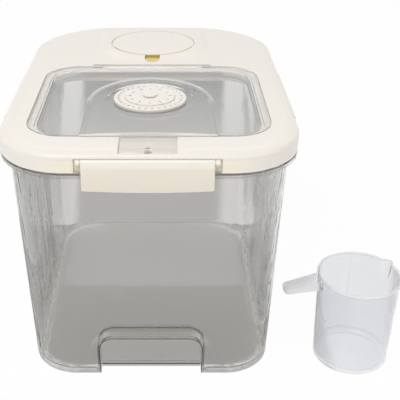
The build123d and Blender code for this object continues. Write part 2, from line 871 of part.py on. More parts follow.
def cup_line(slope):
    # The upright line moulded on the inside of the wall, behind the middle
    low = cup_height - cup_line_length
    inner_low = cup_base_radius + slope * low - cup_wall
    high = cup_height - cup_line_below_rim
    inner_high = cup_base_radius + slope * high - cup_wall
    profile = [
        (inner_low - cup_line_height, low),
        (inner_low + cup_wall / 2, low),
        (inner_high + cup_wall / 2, high),
        (inner_high - cup_line_height, high),
    ]
    face = Plane.YZ * make_face(Polyline(*profile, close=True))
    return extrude(face, cup_line_width / 2, both=True)


def make_measuring_cup():
    outer = [
        (0, 0),
        (cup_base_radius, 0),
        (cup_rim_radius, cup_height),
        (0, cup_height),
    ]
    slope = (cup_rim_radius - cup_base_radius) / cup_height
    lip_low = cup_height - cup_lip_height
    wall_at_floor = cup_base_radius + slope * (cup_foot_depth + cup_floor) - cup_wall
    inner = [
        (0, cup_foot_depth + cup_floor),
        (wall_at_floor, cup_foot_depth + cup_floor),
        (cup_rim_radius - cup_wall + slope, cup_height + past),
        (0, cup_height + past),
    ]
    body = cup_turned(outer)
    body = fillet(body.faces().sort_by(Axis.Z)[0].edges(), cup_base_round)
    lip_radius = cup_rim_radius + cup_lip_width
    lip = Pos(0, 0, (lip_low + cup_height) / 2) * Cylinder(lip_radius, cup_lip_height)
    body += lip
    handle = Rot(0, 0, 180 + cup_handle_turn) * cup_handle(0)
    body += handle
    spout_turn = Rot(0, 0, cup_spout_turn)
    body += spout_turn * cup_spout(0, cup_spout_reach)
    hollow = cup_turned(inner)
    hollow = fillet(hollow.faces().sort_by(Axis.Z)[0].edges(), cup_base_round - cup_wall)
    trough = Rot(0, 0, 180 + cup_handle_turn) * cup_handle(cup_handle_wall)
    guard = cup_turned(outer)
    body -= trough - guard
    body -= hollow
    body -= spout_turn * cup_spout(-cup_wall, cup_spout_reach)
    body += cup_line(slope)
    foot = cup_base_radius - cup_foot_wall - cup_base_round / 2
    body -= Pos(0, 0, cup_foot_depth / 2) * Cylinder(foot, cup_foot_depth)
    body = Pos(cup_x, cup_y, 0) * body
    return solid_of(body)


def make_pieces():
    clasp = clasp_shape()
    pin = clasp_pin()
    pieces = {
        "bin_body": make_bin_body(),
        "lid_frame": make_lid_frame(),
        "lid_seal": make_lid_seal(),
        "flip_window": make_flip_window(),
        "window_seal": make_window_seal(),
        "window_hinge_pin_left": make_window_hinge_pin(-1),
        "window_hinge_pin_right": make_window_hinge_pin(1),
        "dial_day_disc": make_dial_day_disc(),
        "dial_month_disc": make_dial_month_disc(),
        "dial_hub": make_dial_hub(),
        "compartment_basket": make_compartment_basket(),
        "compartment_cap": make_compartment_cap(),
        "compartment_cap_seal": make_compartment_cap_seal(),
        "measuring_cup": make_measuring_cup(),
    }
    for side in ("front", "rear", "left", "right"):
        pieces[side + "_clasp"] = place_clasp(clasp, side)
        pieces[side + "_clasp_pin"] = place_clasp(pin, side)
    return pieces


def main():
    os.makedirs("parts", exist_ok=True)
    for name, piece in make_pieces().items():
        export_step(piece, "parts/" + name + ".step")


main()
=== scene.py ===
"""Looks for a clasped rice bin with a flip window, a date dial and a measuring cup."""

import math

import bpy
from mathutils import Matrix, Vector


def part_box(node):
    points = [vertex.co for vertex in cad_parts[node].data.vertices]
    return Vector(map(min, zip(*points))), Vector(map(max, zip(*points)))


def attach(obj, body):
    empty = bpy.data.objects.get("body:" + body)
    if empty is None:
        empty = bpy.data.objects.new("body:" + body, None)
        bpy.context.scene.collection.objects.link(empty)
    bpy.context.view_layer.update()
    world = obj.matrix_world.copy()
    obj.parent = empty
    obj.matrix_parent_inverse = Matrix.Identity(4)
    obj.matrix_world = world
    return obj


bl_info = {
    "name": "Rice Bin Looks",
    "version": (1, 0, 0),
    "blender": (4, 5, 0),
    "location": "3D View > Sidebar > Rice Bin",
    "description": "Finishes a clear rice bin, its cream lid, its date dial and its measuring cup",
    "category": "Object",
}

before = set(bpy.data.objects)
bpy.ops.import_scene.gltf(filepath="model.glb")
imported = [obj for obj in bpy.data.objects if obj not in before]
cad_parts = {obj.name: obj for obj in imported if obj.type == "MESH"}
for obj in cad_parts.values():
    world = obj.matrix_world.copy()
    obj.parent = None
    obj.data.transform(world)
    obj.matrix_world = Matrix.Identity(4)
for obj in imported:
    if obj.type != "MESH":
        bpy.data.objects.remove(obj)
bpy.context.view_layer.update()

MM = 0.001
SIDES = ("front", "rear", "left", "right")
ORIGIN = Vector((0.0, 0.0, 0.0))
UNBOUNDED = 1.0  # a half size that no piece reaches

# The finger recess, in the middle of the bin's slanted front wall
FRONT_WALL_SLANT = (0.0, 1.0, 0.132)
FRONT_WALL_OFFSET = 138 * MM
FRONT_WALL_THICKNESS = 3 * MM
RECESS_HALF_WIDTH = 46 * MM
RECESS_HEIGHT = 44 * MM
RECESS_CORNER = 13 * MM
RECESS_REAR = -128 * MM

# The streaks in the bin's side walls, stretched upright
STREAK_SCALE = (140.0, 140.0, 13.0)
STREAK_DEPTH = 3.5
STREAK_HALF_WIDTH = 96 * MM

# The box that the bin's rounded base outlines are measured from, and where its painted highlight
# lines lie
BASE_INNER = Vector((68 * MM, 96 * MM, UNBOUNDED))
BASE_LOWER_EDGE = (40.8 * MM, 41.3 * MM)
BASE_RING_WALL = (32.2 * MM, 34.2 * MM)
BASE_PAINTED_HIGHLIGHT_SHARE = 0.85

# The window: the radii of the step round the dish, and how far its field reaches before the seal
DISH_STEP = (50.8 * MM, 55.4 * MM)
FIELD_BEFORE_SEAL = 5.3 * MM

# The lid's front: the face of its skirt, how far the painted bounce light on it reaches to each
# side, half the length of the clasp's pocket, and the catch peg
SKIRT_FRONT = -173.5 * MM
BOUNCE_LIGHT_HALF_WIDTH = 88 * MM
POCKET_HALF_WIDTH = 60 * MM
CATCH_PEG = Vector((0.0, -168.4 * MM, 0.0))

# The measuring cup: the upright line through its middle, and where its handle and spout start
CUP_AXIS = Vector((189 * MM, -108 * MM, 0.0))
CUP_HANDLE = 152 * MM
CUP_SPOUT = 222.5 * MM
CUP_MILK_AND_HIGHLIGHT_SHARE = 0.55

# Colours of the plastics, the steel and the ink, and of what is laid over them
WHITE = (1.0, 1.0, 1.0, 1.0)
AMBER = (0.80, 0.62, 0.24, 1.0)
MILKY_SILICONE = (0.92, 0.91, 0.89, 1.0)
DRAWN_STEEL = (0.82, 0.82, 0.83, 1.0)
INK_GREY = (0.05, 0.048, 0.045, 1.0)
# Painted light: paler tints of the recess's ceiling and of a band of the front wall round it
RECESS_ROOF_PAINTED_LIGHT = (0.95, 0.945, 0.935, 1.0)
RECESS_BAND_PAINTED_LIGHT = (0.94, 0.935, 0.925, 1.0)
# Painted light: the paler tint of the window's plug and of the dish's step
PLUG_AND_STEP_PAINTED_LIGHT = (0.97, 0.968, 0.96, 1.0)
# Painted shade: the dark lines and the grey edge of the recess
RECESS_PAINTED_SHADE_LINE = (0.05, 0.05, 0.055, 1.0)
RECESS_PAINTED_SHADE_EDGE = (0.42, 0.415, 0.405, 1.0)
# Painted highlight: the pale lines round the bin's base
BASE_PAINTED_HIGHLIGHT = (1.0, 1.0, 0.99, 1.0)
# Painted light: the white on the window field's front face
FIELD_FACE_PAINTED_LIGHT = (0.9, 0.88, 0.85, 1.0)
# Painted bounce light: warm tints on the lid's skirt by the clasp and in its pocket
SKIRT_PAINTED_BOUNCE_LIGHT = (0.93, 0.86, 0.72, 1.0)
POCKET_PAINTED_BOUNCE_LIGHT = (1.0, 0.95, 0.80, 1.0)
# Painted shade: the dark ring round the catch peg
CATCH_SHADE = (0.22, 0.20, 0.18, 1.0)
# Painted highlight: the pale band along the clasp's top and the line at its lower edge
CLASP_PAINTED_HIGHLIGHT = (0.90, 0.865, 0.79, 1.0)
# Painted reflection: the basket's amber flange on the cap's front edge
CAP_PAINTED_AMBER_REFLECTION = (0.46, 0.38, 0.10, 1.0)
# Partly the cup's own milky plastic, partly painted highlight lines at its rim and inner base edge
CUP_MILK_AND_HIGHLIGHT = (0.97, 0.97, 0.98, 1.0)

# Shares of the cream's red, green and blue
FULL_CREAM = (1.0, 1.0, 1.0)
CLASP_CREAM = (0.985, 0.955, 0.905)

# The dial's rings of numbers: the day ring beyond the middle of its strip, the month ring
# inside its disc's edge
DAYS, MONTHS = 31, 12
DAY_RING_SHIFT = 0.8 * MM
MONTH_RING_INSET = 4.5 * MM

# The card behind the bin: where it darkens rearwards and to what share, how soft its edge is,
# how far beyond the edge it starts again, and where it gives way to white for the cup
CARD_DARKENING = (0.42, 0.65)
CARD_REAR_SHARE = 0.3
CARD_EDGE = 6 * MM
CARD_FLANK = (38 * MM, 50 * MM)
CARD_CUP_SIDE = (155 * MM, 175 * MM)

# The stage: the world's strength as a light, how far the floor glows, and the camera's framing
LIGHT_STRENGTH = 0.55
FLOOR_GLOW = 0.95
FLOOR_SIZE = 8.0
PATCH_HALF_LENGTH = 500 * MM
PATCH_CORNER = 12 * MM
CAMERA_SHIFT = (0.0847, -0.0145)
LAMP_AIM = (0.0, 0.0, 0.15)
LAMPS = (
    ("key_lamp", (-0.6, -0.9, 1.6), (0.9, 0.9), 13.5),
    ("fill_lamp", (1.3, -0.7, 0.8), (0.8, 0.8), 2.7),
    ("rear_lamp", (0.0, 1.5, 1.5), (1.4, 0.5), 2.7),
)


class FinishSettings(bpy.types.PropertyGroup):
    smoke_tint: bpy.props.FloatVectorProperty(
        name="Smoke tint",
        description="What one wall of the clear grey plastic lets through",
        subtype="COLOR",
        size=4,
        min=0.0,
        max=1.0,
        default=(0.82, 0.815, 0.805, 1.0),
    )
    window_tint: bpy.props.FloatVectorProperty(
        name="Window tint",
        description="What one wall of the flip window lets through",
        subtype="COLOR",
        size=4,
        min=0.0,
        max=1.0,
        default=(0.735, 0.73, 0.72, 1.0),
    )
    cream_colour: bpy.props.FloatVectorProperty(
        name="Cream",
        description="Colour of the lid's moulded plastic",
        subtype="COLOR",
        size=4,
        min=0.0,
        max=1.0,
        default=(0.88, 0.835, 0.765, 1.0),
    )
    cup_tint: bpy.props.FloatVectorProperty(
        name="Cup tint",
        description="What one wall of the milky measuring cup lets through",
        subtype="COLOR",
        size=4,
        min=0.0,
        max=1.0,
        default=(0.87, 0.875, 0.895, 1.0),
    )


class DialSettings(bpy.types.PropertyGroup):
    day_number_height: bpy.props.FloatProperty(
        name="Day number height",
        description="Height of the numbers round the day disc",
        subtype="DISTANCE",
        default=3.0 * MM,
    )
    month_number_height: bpy.props.FloatProperty(
        name="Month number height",
        description="Height of the numbers round the month disc",
        subtype="DISTANCE",
        default=3.4 * MM,
    )
    number_relief: bpy.props.FloatProperty(
        name="Number relief",
        description="How far the printed numbers stand out of the discs",
        subtype="DISTANCE",
        default=0.05 * MM,
    )


class StudioSettings(bpy.types.PropertyGroup):
    camera_place: bpy.props.FloatVectorProperty(
        name="Camera place",
        description="Where the camera stands",
        subtype="TRANSLATION",
        size=3,
        default=(0.0138, -0.7028, 0.4824),
    )
    camera_tilt: bpy.props.FloatProperty(
        name="Camera tilt",
        description="The camera's turn about X, where a right angle is level",
        subtype="ANGLE",
        default=math.radians(62.4),
    )
    camera_lens: bpy.props.FloatProperty(
        name="Camera lens",
        description="Focal length in millimetres on a 36 mm sensor",
        default=70.4,
    )
    # Painted shadow: the grey that stands in for the bin's shadow on the floor, seen through the
    # plastic
    floor_grey: bpy.props.FloatProperty(
        name="Floor grey",
        description="How pale the floor looks through the clear plastic",
        min=0.0,
        max=1.0,
        default=0.52,
    )
    # Painted reflection: the paler grey that stands in for the bin's reflection on the floor
    patch_grey: bpy.props.FloatProperty(
        name="Patch grey",
        description="How pale the rear part of the floor looks through the clear plastic",
        min=0.0,
        max=1.0,
        default=0.656,
    )
    patch_front: bpy.props.FloatProperty(
        name="Patch front",
        description="Where that paler part starts",
        subtype="DISTANCE",
        default=0.004,
    )
    patch_half_width: bpy.props.FloatProperty(
        name="Patch half width",
        description="Half of the width of that paler part",
        subtype="DISTANCE",
        default=0.0985,
    )
    floor_end: bpy.props.FloatProperty(
        name="Floor end",
        description="Where the floor's grey ends behind the bin and the white surroundings start",
        subtype="DISTANCE",
        default=0.139,
    )
    floor_half_width: bpy.props.FloatProperty(
        name="Floor half width",
        description="Half of the width of the floor's grey",
        subtype="DISTANCE",
        default=0.2,
    )
    floor_shift: bpy.props.FloatProperty(
        name="Floor shift",
        description="How far the floor's grey lies to the left, so that none is behind the cup",
        subtype="DISTANCE",
        default=0.05,
    )
    card_grey: bpy.props.FloatProperty(
        name="Card grey",
        description="How pale the card behind the bin looks through its flat rear wall",
        min=0.0,
        max=1.0,
        default=0.665,
    )
    card_half_width: bpy.props.FloatProperty(
        name="Card half width",
        description="Half of the card's width in line with the bin's middle",
        subtype="DISTANCE",
        default=0.078,
    )
    card_spread: bpy.props.FloatProperty(
        name="Card spread",
        description="How much wider each half of the card gets per metre behind the bin",
        default=0.083,
    )
    card_shift: bpy.props.FloatProperty(
        name="Card shift",
        description="How far the card stands to the left of the bin's middle",
        subtype="DISTANCE",
        default=0.009,
    )


def feed(tree, entry, value):
    """Joins a socket to the entry, or sets a plain value on it."""
    if isinstance(value, bpy.types.NodeSocket):
        tree.links.new(value, entry)
    else:
        entry.default_value = value


def sum_node(tree, kind, operation, values):
    """The outputs of a Math or Vector Math node that is fed with the values."""
    node = tree.nodes.new(kind)
    node.operation = operation
    for entry, value in zip(node.inputs, values):
        feed(tree, entry, value)
    return node.outputs


def reckon(tree, operation, *values):
    """The result of a Math node for the values, each a socket or a number."""
    return sum_node(tree, "ShaderNodeMath", operation, values)["Value"]


def reckon_vector(tree, operation, *values):
    """The result of a Vector Math node for the values, each a socket or a vector."""
    outputs = sum_node(tree, "ShaderNodeVectorMath", operation, values)
    return outputs["Value" if operation in ("LENGTH", "DOT_PRODUCT") else "Vector"]


def either(tree, first, *others):
    """The largest of some masks."""
    for other in others:
        first = reckon(tree, "MAXIMUM", first, other)
    return first


def both(tree, first, *others):
    """The product of some masks: 1 where all of them are 1."""
    for other in others:
        first = reckon(tree, "MULTIPLY", first, other)
    return first


def weaken(tree, mask, share):
    """The mask at a share of its strength."""
    return reckon(tree, "MULTIPLY", mask, share)


def below(tree, value, limit):
    """1 where the value is less than the limit."""
    return reckon(tree, "LESS_THAN", value, limit)


def rays(tree, *kinds):
    """1 for light paths of the given kinds."""
    path = tree.nodes.new("ShaderNodeLightPath")
    return either(tree, *[path.outputs["Is " + kind + " Ray"] for kind in kinds])


def ramp_of(tree, value, start, end, low=0.0, high=1.0):
    """Goes from low to high while the value goes from start to end."""
    ramp = tree.nodes.new("ShaderNodeMapRange")
    feed(tree, ramp.inputs["Value"], value)
    feed(tree, ramp.inputs["From Min"], start)
    feed(tree, ramp.inputs["From Max"], end)
    feed(tree, ramp.inputs["To Min"], low)
    feed(tree, ramp.inputs["To Max"], high)
    return ramp.outputs["Result"]


def band_of(tree, value, start, end, soft):
    """1 where the value lies between start and end, with soft edges."""
    rising = ramp_of(tree, value, start - soft, start + soft)
    falling = ramp_of(tree, value, end + soft, end - soft)
    return both(tree, rising, falling)


def place_of(tree):
    """Where a point lies in its piece's own coordinates."""
    node = tree.nodes.get("Texture Coordinate") or tree.nodes.new("ShaderNodeTexCoord")
    return node.outputs["Object"]


def along(tree, axis):
    """How far along one axis a point lies."""
    split = tree.nodes.get("Separate XYZ") or tree.nodes.new("ShaderNodeSeparateXYZ")
    if not split.inputs["Vector"].is_linked:
        tree.links.new(place_of(tree), split.inputs["Vector"])
    return split.outputs[axis]


def ramp_along(tree, axis, start, end):
    """Goes from 0 to 1 between two places along one axis."""
    return ramp_of(tree, along(tree, axis), start, end)


def band_along(tree, axis, start, end, soft):
    """1 between two places along one axis, with soft edges."""
    return band_of(tree, along(tree, axis), start, end, soft)


def reach_beyond(tree, centre, inner):
    """How far a point lies outside an inner box: a rounded outline is one value of it."""
    mirrored = reckon_vector(
        tree, "ABSOLUTE", reckon_vector(tree, "SUBTRACT", place_of(tree), centre)
    )
    outside = reckon_vector(tree, "SUBTRACT", mirrored, inner)
    return reckon_vector(tree, "LENGTH", reckon_vector(tree, "MAXIMUM", outside, ORIGIN))


def reach_from_axis(tree, centre):
    """How far a point lies from the upright line through the centre."""
    return reach_beyond(tree, centre, Vector((0.0, 0.0, UNBOUNDED)))


def reach_sideways(tree, half_width):
    """How far a point lies to either side of a strip along the object's middle."""
    return reach_beyond(tree, ORIGIN, Vector((half_width, UNBOUNDED, UNBOUNDED)))


def reach_behind_front_wall(tree):
    """How far a point lies behind the outer face of the bin's front wall, near its base."""
    slanted = reckon_vector(tree, "DOT_PRODUCT", place_of(tree), FRONT_WALL_SLANT)
    return reckon(tree, "ADD", slanted, FRONT_WALL_OFFSET)


def noise_of(tree, place, **values):
    """The grey of a Noise node that takes the values on its sockets."""
    noise = tree.nodes.new("ShaderNodeTexNoise")
    feed(tree, noise.inputs["Vector"], place)
    for label, value in values.items():
        feed(tree, noise.inputs[label], value)
    return noise.outputs["Fac"]


def mix_of(tree, kind, factor, first, second):
    """Goes from the first value or colour to the second as the factor goes from 0 to 1."""
    mix = tree.nodes.new("ShaderNodeMix")
    mix.data_type = kind
    feed(tree, mix.inputs["Factor"], factor)
    feed(tree, mix.inputs["A"], first)
    feed(tree, mix.inputs["B"], second)
    return mix.outputs["Result"]


def main_shader(tree):
    """The shader that a material starts with."""
    return tree.nodes["Principled BSDF"]


def blend_into(tree, name, value, mask):
    """Lays a value over what feeds one of the main shader's sockets, where the mask is 1."""
    entry = main_shader(tree).inputs[name]
    kind = "RGBA" if name == "Base Color" else "FLOAT"
    tree.links.new(mix_of(tree, kind, mask, entry.links[0].from_socket, value), entry)


def mix_onto_surface(tree, factor, shader):
    """Lays a shader over what the material shows, as far as the factor says."""
    surface = tree.nodes["Material Output"].inputs["Surface"]
    mix = tree.nodes.new("ShaderNodeMixShader")
    tree.links.new(factor, mix.inputs["Fac"])
    tree.links.new(surface.links[0].from_socket, mix.inputs[1])
    tree.links.new(shader, mix.inputs[2])
    tree.links.new(mix.outputs["Shader"], surface)


def lay_over(tree, mask, colour, roughness):
    """Covers the plastic with an opaque finish where the mask is 1."""
    cover = tree.nodes.new("ShaderNodeBsdfPrincipled")
    cover.inputs["Base Color"].default_value = colour
    cover.inputs["Roughness"].default_value = roughness
    mix_onto_surface(tree, mask, cover.outputs["BSDF"])


def let_lamps_through(tree, tint):
    """Lets lamps light what is behind a clear wall, each face taking its share of the tint."""
    clear = tree.nodes.new("ShaderNodeBsdfTransparent")
    clear.inputs["Color"].default_value = [math.sqrt(c) for c in tint[:3]] + [1.0]
    mix_onto_surface(tree, rays(tree, "Shadow"), clear.outputs["BSDF"])


def moulded_surface_group():
    """Fine unevenness of moulded plastic: slow flow waves, a fine grain and handling marks."""
    name = "MouldedSurface"
    if name in bpy.data.node_groups:
        return bpy.data.node_groups[name]
    group = bpy.data.node_groups.new(name, "ShaderNodeTree")
    face = group.interface
    face.new_socket("Vector", in_out="INPUT", socket_type="NodeSocketVector")
    for label, value in (
        ("Wave Scale", 18.0),
        ("Grain Scale", 900.0),
        ("Grain Share", 0.3),
        ("Roughness", 0.3),
        ("Roughness Spread", 0.1),
    ):
        entry = face.new_socket(label, in_out="INPUT", socket_type="NodeSocketFloat")
        entry.default_value = value
    for label in ("Height", "Roughness"):
        face.new_socket(label, in_out="OUTPUT", socket_type="NodeSocketFloat")
    given = group.nodes.new("NodeGroupInput").outputs
    put_out = group.nodes.new("NodeGroupOutput").inputs
    wave = noise_of(group, given["Vector"], Scale=given["Wave Scale"], Detail=1.0)
    grain = noise_of(group, given["Vector"], Scale=given["Grain Scale"], Detail=2.0)
    height = mix_of(group, "FLOAT", given["Grain Share"], wave, grain)
    group.links.new(height, put_out["Height"])
    wear = noise_of(group, given["Vector"], Scale=60.0, Detail=6.0, Roughness=0.65)
    wear = reckon(group, "SUBTRACT", wear, 0.5)
    worn = reckon(group, "MULTIPLY_ADD", wear, given["Roughness Spread"], given["Roughness"])
    worn.node.use_clamp = True
    group.links.new(worn, put_out["Roughness"])
    return group


def new_material(name, sockets):
    """A material whose main shader takes the given values."""
    material = bpy.data.materials.new(name)
    material.use_nodes = True
    for label, value in sockets.items():
        main_shader(material.node_tree).inputs[label].default_value = value
    return material


def moulded_material(name, sockets, surface, relief, colour, drift, drift_scale):
    """A material with the shared surface and a colour that drifts to a slightly deeper one.

    The sockets are the main shader's, the surface values are the shared group's, the relief is
    the height of its bump, and the drift is the share of its light that the deeper colour loses.
    """
    material = new_material(name, sockets)
    tree = material.node_tree
    shader = main_shader(tree)
    group = tree.nodes.new("ShaderNodeGroup")
    group.node_tree = moulded_surface_group()
    tree.links.new(place_of(tree), group.inputs["Vector"])
    for label, value in surface.items():
        group.inputs[label].default_value = value
    bump = tree.nodes.new("ShaderNodeBump")
    bump.inputs["Strength"].default_value = 1.0
    bump.inputs["Distance"].default_value = relief
    tree.links.new(group.outputs["Height"], bump.inputs["Height"])
    tree.links.new(bump.outputs["Normal"], shader.inputs["Normal"])
    tree.links.new(group.outputs["Roughness"], shader.inputs["Roughness"])
    noise = noise_of(tree, place_of(tree), Scale=drift_scale, Detail=3.0)
    deeper = [c * (1 - drift) for c in colour[:3]] + [1.0]
    tree.links.new(mix_of(tree, "RGBA", noise, list(colour), deeper), shader.inputs["Base Color"])
    return material


def clear_plastic(name, tint, ior, coat, wave_scale, wave_depth):
    """Clear tinted plastic that is polished and slightly wavy."""
    sockets = {
        "IOR": ior,
        "Transmission Weight": 1.0,
        "Coat Weight": coat,
        "Coat Roughness": 0.02,
    }
    surface = {
        "Wave Scale": wave_scale,
        "Grain Share": 0.02,
        "Roughness": 0.02,
        "Roughness Spread": 0.03,
    }
    material = moulded_material(
        name, sockets, surface, relief=wave_depth, colour=tint, drift=0.03, drift_scale=9.0
    )
    let_lamps_through(material.node_tree, tint)
    return material


def finish_recess(tree):
    """Painted light as paler tints on the recess's ceiling and in a band of the front wall round
    it, a frosted band at the joint, and painted shade as thin dark lines and a grey edge along the
    recess.
    """
    half_width, height = RECESS_HALF_WIDTH - RECESS_CORNER, RECESS_HEIGHT - RECESS_CORNER
    arch = reach_beyond(tree, ORIGIN, Vector((half_width, UNBOUNDED, height)))
    depth = reach_behind_front_wall(tree)
    thin, thick = FRONT_WALL_THICKNESS - 0.1 * MM, FRONT_WALL_THICKNESS + 0.1 * MM
    before_rear = ramp_along(tree, "Y", RECESS_REAR + 5.5 * MM, RECESS_REAR + 4.5 * MM)

    # Painted light: a paler tint on the recess's ceiling
    roof = ramp_of(tree, arch, RECESS_CORNER + 5.2 * MM, RECESS_CORNER + 4.8 * MM)
    roof = both(tree, roof, ramp_of(tree, depth, thin, thick), before_rear)
    blend_into(tree, "Base Color", RECESS_ROOF_PAINTED_LIGHT, roof)

    joint = band_of(tree, arch, RECESS_CORNER - 1 * MM, RECESS_CORNER + 5 * MM, 0.2 * MM)
    at_joint = ramp_along(tree, "Y", RECESS_REAR - 3 * MM, RECESS_REAR - 2 * MM)
    blend_into(tree, "Roughness", 0.35, both(tree, joint, before_rear, at_joint))

    # Painted light: a paler tint in a band of the front wall round the recess
    band = band_of(tree, arch, RECESS_CORNER + 1 * MM, RECESS_CORNER + 8.6 * MM, 0.3 * MM)
    in_front_wall = ramp_of(tree, depth, thick, thin)
    above = ramp_along(tree, "Z", 32 * MM, 42 * MM)
    blend_into(tree, "Base Color", RECESS_BAND_PAINTED_LIGHT, both(tree, band, in_front_wall, above))

    # Painted shade: dark lines along the recess's arch and at its sill
    line = band_of(tree, arch, RECESS_CORNER + 0.1 * MM, RECESS_CORNER + 0.8 * MM, 0.15 * MM)
    line = both(tree, line, ramp_of(tree, depth, 1.2 * MM, 1.0 * MM))
    sill = band_along(tree, "Z", 2.3 * MM, 3.7 * MM, 0.2 * MM)
    at_foot = band_along(tree, "Y", RECESS_REAR - 0.7 * MM, RECESS_REAR + 1.8 * MM, 0.2 * MM)
    within = ramp_of(tree, arch, RECESS_CORNER, RECESS_CORNER - 0.5 * MM)
    line = either(tree, line, both(tree, sill, at_foot, within))
    lay_over(tree, line, RECESS_PAINTED_SHADE_LINE, roughness=0.3)

    # Painted shade: a grey edge along the recess's rear arch
    edge = band_of(tree, arch, RECESS_CORNER + 1.4 * MM, RECESS_CORNER + 3.4 * MM, 0.2 * MM)
    at_rear = ramp_along(tree, "Y", RECESS_REAR - 0.5 * MM, RECESS_REAR)
    lay_over(tree, both(tree, edge, before_rear, at_rear), RECESS_PAINTED_SHADE_EDGE, roughness=0.4)


def streak_side_walls(tree):
    """Upright streaks in the front part of the side walls, added to the bump."""
    stretch = tree.nodes.new("ShaderNodeMapping")
    stretch.inputs["Scale"].default_value = STREAK_SCALE
    tree.links.new(place_of(tree), stretch.inputs["Vector"])
    streaks = noise_of(tree, stretch.outputs["Vector"], Scale=1.0, Detail=2.0)
    on_side = ramp_of(tree, reach_sideways(tree, STREAK_HALF_WIDTH), 0.0, 6 * MM)
    on_side = both(tree, on_side, ramp_along(tree, "Y", 35 * MM, 10 * MM))
    height = tree.nodes["Bump"].inputs["Height"]
    streaks = both(tree, streaks, on_side)
    smooth = height.links[0].from_socket
    tree.links.new(reckon(tree, "MULTIPLY_ADD", streaks, STREAK_DEPTH, smooth), height)


def line_base(tree):
    """Painted highlight lines round the bin's base: its lower edge and the wall of its foot ring.
    """
    # Painted highlight: pale covers along the base's lower edge and its foot ring wall
    base = reach_beyond(tree, ORIGIN, BASE_INNER)
    lower_edge = ramp_of(tree, base, *BASE_LOWER_EDGE)
    lower_edge = both(tree, lower_edge, ramp_along(tree, "Z", 1.6 * MM, 1.0 * MM))
    ring_wall = band_of(tree, base, *BASE_RING_WALL, 0.2 * MM)
    ring_wall = both(tree, ring_wall, ramp_along(tree, "Z", 3.2 * MM, 2.9 * MM))
    lines = weaken(tree, either(tree, lower_edge, ring_wall), BASE_PAINTED_HIGHLIGHT_SHARE)
    lay_over(tree, lines, BASE_PAINTED_HIGHLIGHT, roughness=0.3)


def smoke_plastic():
    """Smoke grey, with painted light and painted shade round the recess, a frosted foot, streaked
    side walls and painted highlight lines round the base.
    """
    tint = bpy.context.scene.rice_finish.smoke_tint
    material = clear_plastic(
        "smoke_plastic_clear", tint, ior=1.45, coat=0.0, wave_scale=14.0, wave_depth=0.1 * MM
    )
    tree = material.node_tree
    finish_recess(tree)
    blend_into(tree, "Roughness", 0.45, ramp_along(tree, "Z", 7 * MM, 5.5 * MM))
    streak_side_walls(tree)
    line_base(tree)
    return material


def window_plastic():
    """Smoke grey, clearer in the plug and the dish's step as painted light, and with painted light
    as an opaque white cover on the field's front face.
    """
    tint = bpy.context.scene.rice_finish.window_tint
    material = clear_plastic(
        "window_plastic_clear", tint, ior=1.12, coat=1.0, wave_scale=9.0, wave_depth=0.02 * MM
    )
    tree = material.node_tree
    seal_low, seal_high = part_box("window_seal")
    # Painted light: a paler tint in the plug lifts the shade seen through it
    plug = ramp_along(tree, "Z", seal_high.z + 1.4 * MM, seal_high.z + 0.9 * MM)
    blend_into(tree, "Base Color", PLUG_AND_STEP_PAINTED_LIGHT, plug)

    dial_low, dial_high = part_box("dial_day_disc")
    dial_centre = (dial_low + dial_high) / 2
    # Painted light: a paler tint on the dish's step in place of its dark refraction line
    step = band_of(tree, reach_from_axis(tree, dial_centre), *DISH_STEP, 0.3 * MM)
    rear_half = ramp_along(tree, "Y", dial_centre.y - 2 * MM, dial_centre.y + 2 * MM)
    step = both(tree, step, rear_half)
    blend_into(tree, "Base Color", PLUG_AND_STEP_PAINTED_LIGHT, step)
    blend_into(tree, "Roughness", 0.3, step)

    # Painted light: an opaque white cover on the field's front face
    front = seal_low.y - FIELD_BEFORE_SEAL
    behind_face = ramp_along(tree, "Y", front - 1.4 * MM, front - 1.3 * MM)
    before_panel = ramp_along(tree, "Y", front - 0.5 * MM, front - 0.7 * MM)
    above_tab = ramp_along(tree, "Z", seal_high.z + 5.0 * MM, seal_high.z + 5.2 * MM)
    face = both(tree, behind_face, before_panel, above_tab)
    lay_over(tree, face, FIELD_FACE_PAINTED_LIGHT, roughness=0.35)
    return material


def cream_plastic(name, depth):
    """Satin cream plastic, its colour times depth for each of red, green and blue."""
    cream = bpy.context.scene.rice_finish.cream_colour
    colour = [c * share for c, share in zip(cream[:3], depth)] + [1.0]
    sockets = {
        "IOR": 1.5,
        "Subsurface Weight": 0.15,
        "Subsurface Radius": (1.0, 0.8, 0.5),
        "Subsurface Scale": 1.5 * MM,
    }
    surface = {
        "Wave Scale": 10.0,
        "Grain Share": 0.25,
        "Roughness": 0.32,
        "Roughness Spread": 0.12,
    }
    return moulded_material(
        name, sockets, surface, relief=0.03 * MM, colour=colour, drift=0.03, drift_scale=7.0
    )


